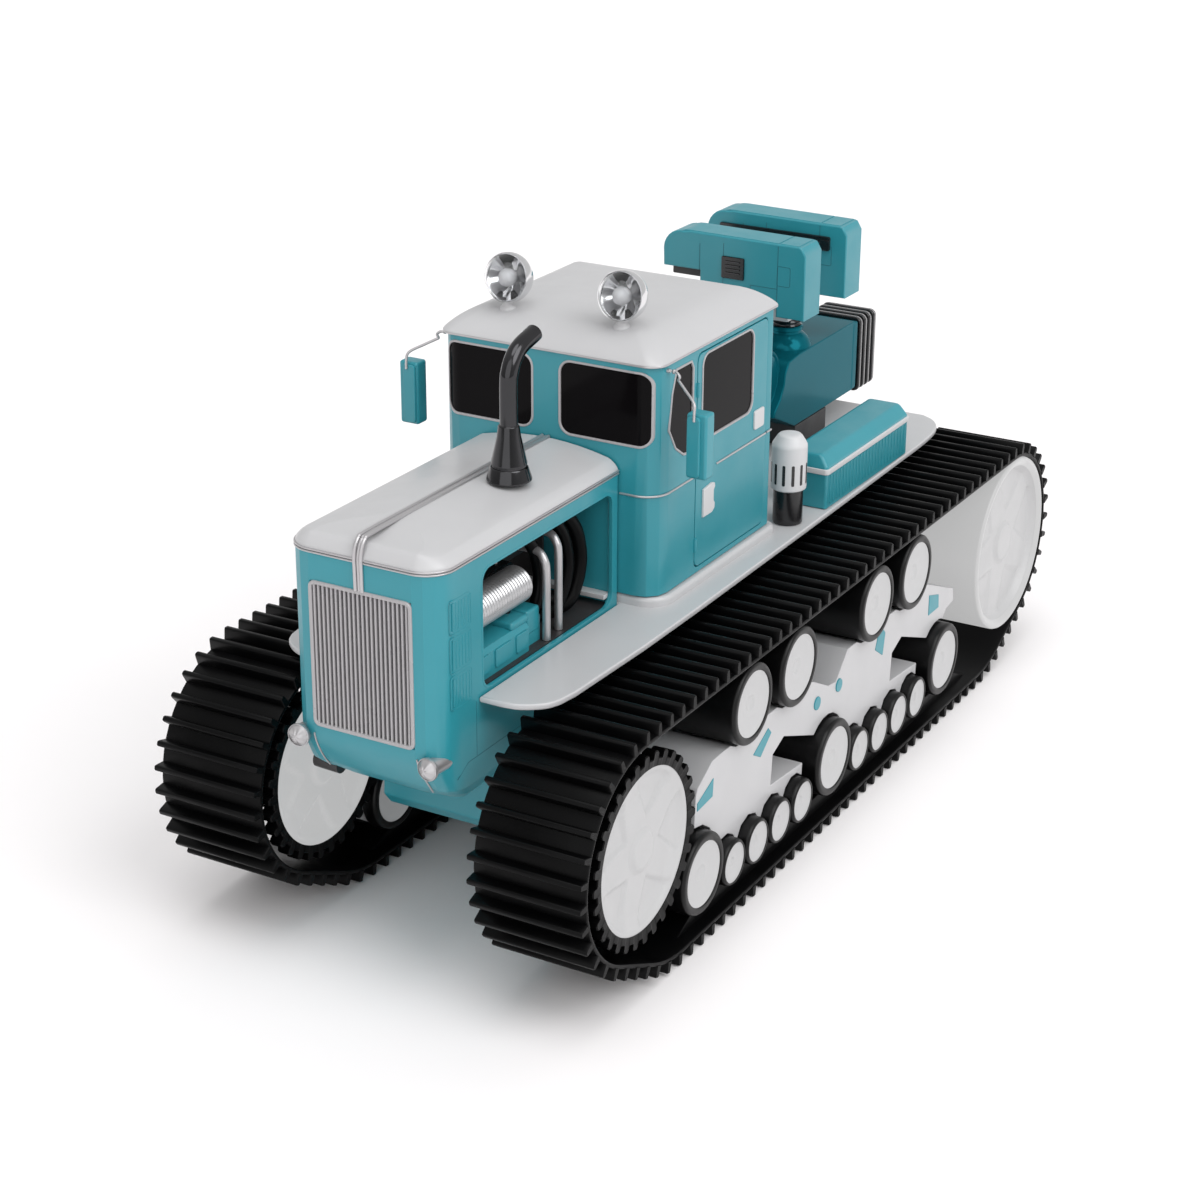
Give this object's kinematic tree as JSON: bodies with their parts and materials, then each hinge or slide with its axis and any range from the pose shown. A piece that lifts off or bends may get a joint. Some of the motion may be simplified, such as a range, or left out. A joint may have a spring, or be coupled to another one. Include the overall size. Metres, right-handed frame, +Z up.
{
  "type": "crawler tractor chassis",
  "caption": "Crawler tractor kit: toothed rubber tracks on bogie frames, hooded engine bay, cab with hinged doors, and a slewing turret that carries a turning pod head.",
  "frame": {"origin": "on the ground below the middle of the object", "axes": "+Z up, nose towards -Y, the tractor's left is +X"},
  "size_m": [0.1736, 0.4192, 0.2272],
  "materials": {
    "teal_enamel": "satin",
    "teal_metallic": "metallic gloss",
    "white_enamel": "satin",
    "black_rubber": "matt",
    "black_enamel": "satin",
    "black_glass": "gloss",
    "chrome": "polished"
  },
  "bodies": {
    "root": {"track_belt_left": "black_rubber", "track_belt_right": "black_rubber", "track_frame_left": "white_enamel", "track_frame_right": "white_enamel", "hull": "teal_enamel", "deck": "white_enamel", "engine_housing": "teal_enamel", "hood_top": "white_enamel", "grille": "chrome", "cab_shell": "teal_enamel", "cab_roof": "white_enamel", "cab_glazing": "black_glass", "exhaust_stack": "black_enamel", "engine_block": "teal_enamel", "intake_hose": "chrome", "air_cleaner": "white_enamel", "side_box": "teal_enamel", "turret_pedestal": "black_enamel"},
    "drive_sprocket_left": {"drive_sprocket_left": "black_rubber"},
    "idler_wheel_left": {"idler_wheel_left": "white_enamel"},
    "road_wheel_left_1": {"road_wheel_left_1": "black_rubber"},
    "road_wheel_left_2": {"road_wheel_left_2": "black_rubber"},
    "road_wheel_left_3": {"road_wheel_left_3": "black_rubber"},
    "small_roller_left_1": {"small_roller_left_1": "black_rubber"},
    "small_roller_left_2": {"small_roller_left_2": "black_rubber"},
    "small_roller_left_3": {"small_roller_left_3": "black_rubber"},
    "small_roller_left_4": {"small_roller_left_4": "black_rubber"},
    "small_roller_left_5": {"small_roller_left_5": "black_rubber"},
    "small_roller_left_6": {"small_roller_left_6": "black_rubber"},
    "small_roller_left_7": {"small_roller_left_7": "black_rubber"},
    "small_roller_left_8": {"small_roller_left_8": "black_rubber"},
    "upper_roller_left_1": {"upper_roller_left_1": "black_rubber"},
    "upper_roller_left_2": {"upper_roller_left_2": "black_rubber"},
    "upper_roller_left_3": {"upper_roller_left_3": "black_rubber"},
    "upper_roller_left_4": {"upper_roller_left_4": "black_rubber"},
    "drive_sprocket_right": {"drive_sprocket_right": "black_rubber"},
    "idler_wheel_right": {"idler_wheel_right": "white_enamel"},
    "road_wheel_right_1": {"road_wheel_right_1": "black_rubber"},
    "road_wheel_right_2": {"road_wheel_right_2": "black_rubber"},
    "road_wheel_right_3": {"road_wheel_right_3": "black_rubber"},
    "small_roller_right_1": {"small_roller_right_1": "black_rubber"},
    "small_roller_right_2": {"small_roller_right_2": "black_rubber"},
    "small_roller_right_3": {"small_roller_right_3": "black_rubber"},
    "small_roller_right_4": {"small_roller_right_4": "black_rubber"},
    "small_roller_right_5": {"small_roller_right_5": "black_rubber"},
    "small_roller_right_6": {"small_roller_right_6": "black_rubber"},
    "small_roller_right_7": {"small_roller_right_7": "black_rubber"},
    "small_roller_right_8": {"small_roller_right_8": "black_rubber"},
    "upper_roller_right_1": {"upper_roller_right_1": "black_rubber"},
    "upper_roller_right_2": {"upper_roller_right_2": "black_rubber"},
    "upper_roller_right_3": {"upper_roller_right_3": "black_rubber"},
    "upper_roller_right_4": {"upper_roller_right_4": "black_rubber"},
    "door_left": {"door_left": "teal_enamel"},
    "mirror_left": {"mirror_left": "teal_enamel"},
    "roof_lamp_left": {"roof_lamp_left": "chrome"},
    "door_right": {"door_right": "teal_enamel"},
    "mirror_right": {"mirror_right": "teal_enamel"},
    "roof_lamp_right": {"roof_lamp_right": "chrome"},
    "turret_body": {"turret_body": "teal_metallic"},
    "turret_head": {"turret_head": "teal_enamel"}
  },
  "joints": [
    {"name": "drive_sprocket_left_spin", "type": "hinge", "parent": "root", "child": "drive_sprocket_left", "pos_m": [0.06505, -0.165, 0.0571], "axis": [1, 0, 0], "continuous": true},
    {"name": "idler_wheel_left_spin", "type": "hinge", "parent": "root", "child": "idler_wheel_left", "pos_m": [0.06505, 0.165, 0.0571], "axis": [1, 0, 0], "continuous": true},
    {"name": "road_wheel_left_1_spin", "type": "hinge", "parent": "root", "child": "road_wheel_left_1", "pos_m": [0.06505, -0.1217, 0.0281], "axis": [1, 0, 0], "continuous": true},
    {"name": "road_wheel_left_2_spin", "type": "hinge", "parent": "root", "child": "road_wheel_left_2", "pos_m": [0.06505, -0.0132, 0.0281], "axis": [1, 0, 0], "continuous": true},
    {"name": "road_wheel_left_3_spin", "type": "hinge", "parent": "root", "child": "road_wheel_left_3", "pos_m": [0.06505, 0.0953, 0.0281], "axis": [1, 0, 0], "continuous": true},
    {"name": "small_roller_left_1_spin", "type": "hinge", "parent": "root", "child": "small_roller_left_1", "pos_m": [0.06505, -0.0977, 0.0215], "axis": [1, 0, 0], "continuous": true},
    {"name": "small_roller_left_2_spin", "type": "hinge", "parent": "root", "child": "small_roller_left_2", "pos_m": [0.06505, -0.0788, 0.0215], "axis": [1, 0, 0], "continuous": true},
    {"name": "small_roller_left_3_spin", "type": "hinge", "parent": "root", "child": "small_roller_left_3", "pos_m": [0.06505, -0.0599, 0.0215], "axis": [1, 0, 0], "continuous": true},
    {"name": "small_roller_left_4_spin", "type": "hinge", "parent": "root", "child": "small_roller_left_4", "pos_m": [0.06505, -0.041, 0.0215], "axis": [1, 0, 0], "continuous": true},
    {"name": "small_roller_left_5_spin", "type": "hinge", "parent": "root", "child": "small_roller_left_5", "pos_m": [0.06505, 0.0108, 0.0215], "axis": [1, 0, 0], "continuous": true},
    {"name": "small_roller_left_6_spin", "type": "hinge", "parent": "root", "child": "small_roller_left_6", "pos_m": [0.06505, 0.0297, 0.0215], "axis": [1, 0, 0], "continuous": true},
    {"name": "small_roller_left_7_spin", "type": "hinge", "parent": "root", "child": "small_roller_left_7", "pos_m": [0.06505, 0.0486, 0.0215], "axis": [1, 0, 0], "continuous": true},
    {"name": "small_roller_left_8_spin", "type": "hinge", "parent": "root", "child": "small_roller_left_8", "pos_m": [0.06505, 0.0675, 0.0215], "axis": [1, 0, 0], "continuous": true},
    {"name": "upper_roller_left_1_spin", "type": "hinge", "parent": "root", "child": "upper_roller_left_1", "pos_m": [0.06505, -0.0859, 0.0799], "axis": [1, 0, 0], "continuous": true},
    {"name": "upper_roller_left_2_spin", "type": "hinge", "parent": "root", "child": "upper_roller_left_2", "pos_m": [0.06505, -0.0481, 0.0799], "axis": [1, 0, 0], "continuous": true},
    {"name": "upper_roller_left_3_spin", "type": "hinge", "parent": "root", "child": "upper_roller_left_3", "pos_m": [0.06505, 0.0219, 0.0799], "axis": [1, 0, 0], "continuous": true},
    {"name": "upper_roller_left_4_spin", "type": "hinge", "parent": "root", "child": "upper_roller_left_4", "pos_m": [0.06505, 0.0597, 0.0799], "axis": [1, 0, 0], "continuous": true},
    {"name": "drive_sprocket_right_spin", "type": "hinge", "parent": "root", "child": "drive_sprocket_right", "pos_m": [-0.06505, -0.165, 0.0571], "axis": [1, 0, 0], "continuous": true},
    {"name": "idler_wheel_right_spin", "type": "hinge", "parent": "root", "child": "idler_wheel_right", "pos_m": [-0.06505, 0.165, 0.0571], "axis": [1, 0, 0], "continuous": true},
    {"name": "road_wheel_right_1_spin", "type": "hinge", "parent": "root", "child": "road_wheel_right_1", "pos_m": [-0.06505, -0.1217, 0.0281], "axis": [1, 0, 0], "continuous": true},
    {"name": "road_wheel_right_2_spin", "type": "hinge", "parent": "root", "child": "road_wheel_right_2", "pos_m": [-0.06505, -0.0132, 0.0281], "axis": [1, 0, 0], "continuous": true},
    {"name": "road_wheel_right_3_spin", "type": "hinge", "parent": "root", "child": "road_wheel_right_3", "pos_m": [-0.06505, 0.0953, 0.0281], "axis": [1, 0, 0], "continuous": true},
    {"name": "small_roller_right_1_spin", "type": "hinge", "parent": "root", "child": "small_roller_right_1", "pos_m": [-0.06505, -0.0977, 0.0215], "axis": [1, 0, 0], "continuous": true},
    {"name": "small_roller_right_2_spin", "type": "hinge", "parent": "root", "child": "small_roller_right_2", "pos_m": [-0.06505, -0.0788, 0.0215], "axis": [1, 0, 0], "continuous": true},
    {"name": "small_roller_right_3_spin", "type": "hinge", "parent": "root", "child": "small_roller_right_3", "pos_m": [-0.06505, -0.0599, 0.0215], "axis": [1, 0, 0], "continuous": true},
    {"name": "small_roller_right_4_spin", "type": "hinge", "parent": "root", "child": "small_roller_right_4", "pos_m": [-0.06505, -0.041, 0.0215], "axis": [1, 0, 0], "continuous": true},
    {"name": "small_roller_right_5_spin", "type": "hinge", "parent": "root", "child": "small_roller_right_5", "pos_m": [-0.06505, 0.0108, 0.0215], "axis": [1, 0, 0], "continuous": true},
    {"name": "small_roller_right_6_spin", "type": "hinge", "parent": "root", "child": "small_roller_right_6", "pos_m": [-0.06505, 0.0297, 0.0215], "axis": [1, 0, 0], "continuous": true},
    {"name": "small_roller_right_7_spin", "type": "hinge", "parent": "root", "child": "small_roller_right_7", "pos_m": [-0.06505, 0.0486, 0.0215], "axis": [1, 0, 0], "continuous": true},
    {"name": "small_roller_right_8_spin", "type": "hinge", "parent": "root", "child": "small_roller_right_8", "pos_m": [-0.06505, 0.0675, 0.0215], "axis": [1, 0, 0], "continuous": true},
    {"name": "upper_roller_right_1_spin", "type": "hinge", "parent": "root", "child": "upper_roller_right_1", "pos_m": [-0.06505, -0.0859, 0.0799], "axis": [1, 0, 0], "continuous": true},
    {"name": "upper_roller_right_2_spin", "type": "hinge", "parent": "root", "child": "upper_roller_right_2", "pos_m": [-0.06505, -0.0481, 0.0799], "axis": [1, 0, 0], "continuous": true},
    {"name": "upper_roller_right_3_spin", "type": "hinge", "parent": "root", "child": "upper_roller_right_3", "pos_m": [-0.06505, 0.0219, 0.0799], "axis": [1, 0, 0], "continuous": true},
    {"name": "upper_roller_right_4_spin", "type": "hinge", "parent": "root", "child": "upper_roller_right_4", "pos_m": [-0.06505, 0.0597, 0.0799], "axis": [1, 0, 0], "continuous": true},
    {"name": "door_left_hinge", "type": "hinge", "parent": "root", "child": "door_left", "pos_m": [0.0457, -0.0558, 0.154], "axis": [0, 0, -1], "range_deg": [0, 70]},
    {"name": "mirror_left_swing", "type": "hinge", "parent": "root", "child": "mirror_left", "pos_m": [0.0476, -0.0779, 0.1953], "axis": [0, 0, 1], "range_deg": [-30, 60]},
    {"name": "roof_lamp_left_swivel", "type": "hinge", "parent": "root", "child": "roof_lamp_left", "pos_m": [0.0236, -0.0725, 0.2066], "axis": [0, 0, 1], "range_deg": [-60, 60]},
    {"name": "door_right_hinge", "type": "hinge", "parent": "root", "child": "door_right", "pos_m": [-0.0457, -0.0558, 0.154], "axis": [0, 0, 1], "range_deg": [0, 70]},
    {"name": "mirror_right_swing", "type": "hinge", "parent": "root", "child": "mirror_right", "pos_m": [-0.0476, -0.0779, 0.1953], "axis": [0, 0, -1], "range_deg": [-30, 60]},
    {"name": "roof_lamp_right_swivel", "type": "hinge", "parent": "root", "child": "roof_lamp_right", "pos_m": [-0.0236, -0.0725, 0.2066], "axis": [0, 0, -1], "range_deg": [-60, 60]},
    {"name": "turret_slew", "type": "hinge", "parent": "root", "child": "turret_body", "pos_m": [0, 0.111, 0.1175], "axis": [0, 0, 1], "range_deg": [-30, 30]},
    {"name": "turret_head_turn", "type": "hinge", "parent": "turret_body", "child": "turret_head", "pos_m": [0, 0.111, 0.1615], "axis": [0, 0, 1], "range_deg": [-90, 90]}
  ],
  "couplings": [
    {"joint": "idler_wheel_left_spin", "follows": "drive_sprocket_left_spin", "ratio": 1.0078},
    {"joint": "road_wheel_left_1_spin", "follows": "drive_sprocket_left_spin", "ratio": 2.4872},
    {"joint": "road_wheel_left_2_spin", "follows": "drive_sprocket_left_spin", "ratio": 2.4872},
    {"joint": "road_wheel_left_3_spin", "follows": "drive_sprocket_left_spin", "ratio": 2.4872},
    {"joint": "small_roller_left_1_spin", "follows": "drive_sprocket_left_spin", "ratio": 4.3111},
    {"joint": "small_roller_left_2_spin", "follows": "drive_sprocket_left_spin", "ratio": 4.3111},
    {"joint": "small_roller_left_3_spin", "follows": "drive_sprocket_left_spin", "ratio": 4.3111},
    {"joint": "small_roller_left_4_spin", "follows": "drive_sprocket_left_spin", "ratio": 4.3111},
    {"joint": "small_roller_left_5_spin", "follows": "drive_sprocket_left_spin", "ratio": 4.3111},
    {"joint": "small_roller_left_6_spin", "follows": "drive_sprocket_left_spin", "ratio": 4.3111},
    {"joint": "small_roller_left_7_spin", "follows": "drive_sprocket_left_spin", "ratio": 4.3111},
    {"joint": "small_roller_left_8_spin", "follows": "drive_sprocket_left_spin", "ratio": 4.3111},
    {"joint": "upper_roller_left_1_spin", "follows": "drive_sprocket_left_spin", "ratio": 2.5032},
    {"joint": "upper_roller_left_2_spin", "follows": "drive_sprocket_left_spin", "ratio": 2.5032},
    {"joint": "upper_roller_left_3_spin", "follows": "drive_sprocket_left_spin", "ratio": 2.5032},
    {"joint": "upper_roller_left_4_spin", "follows": "drive_sprocket_left_spin", "ratio": 2.5032},
    {"joint": "idler_wheel_right_spin", "follows": "drive_sprocket_right_spin", "ratio": 1.0078},
    {"joint": "road_wheel_right_1_spin", "follows": "drive_sprocket_right_spin", "ratio": 2.4872},
    {"joint": "road_wheel_right_2_spin", "follows": "drive_sprocket_right_spin", "ratio": 2.4872},
    {"joint": "road_wheel_right_3_spin", "follows": "drive_sprocket_right_spin", "ratio": 2.4872},
    {"joint": "small_roller_right_1_spin", "follows": "drive_sprocket_right_spin", "ratio": 4.3111},
    {"joint": "small_roller_right_2_spin", "follows": "drive_sprocket_right_spin", "ratio": 4.3111},
    {"joint": "small_roller_right_3_spin", "follows": "drive_sprocket_right_spin", "ratio": 4.3111},
    {"joint": "small_roller_right_4_spin", "follows": "drive_sprocket_right_spin", "ratio": 4.3111},
    {"joint": "small_roller_right_5_spin", "follows": "drive_sprocket_right_spin", "ratio": 4.3111},
    {"joint": "small_roller_right_6_spin", "follows": "drive_sprocket_right_spin", "ratio": 4.3111},
    {"joint": "small_roller_right_7_spin", "follows": "drive_sprocket_right_spin", "ratio": 4.3111},
    {"joint": "small_roller_right_8_spin", "follows": "drive_sprocket_right_spin", "ratio": 4.3111},
    {"joint": "upper_roller_right_1_spin", "follows": "drive_sprocket_right_spin", "ratio": 2.5032},
    {"joint": "upper_roller_right_2_spin", "follows": "drive_sprocket_right_spin", "ratio": 2.5032},
    {"joint": "upper_roller_right_3_spin", "follows": "drive_sprocket_right_spin", "ratio": 2.5032},
    {"joint": "upper_roller_right_4_spin", "follows": "drive_sprocket_right_spin", "ratio": 2.5032}
  ]
}
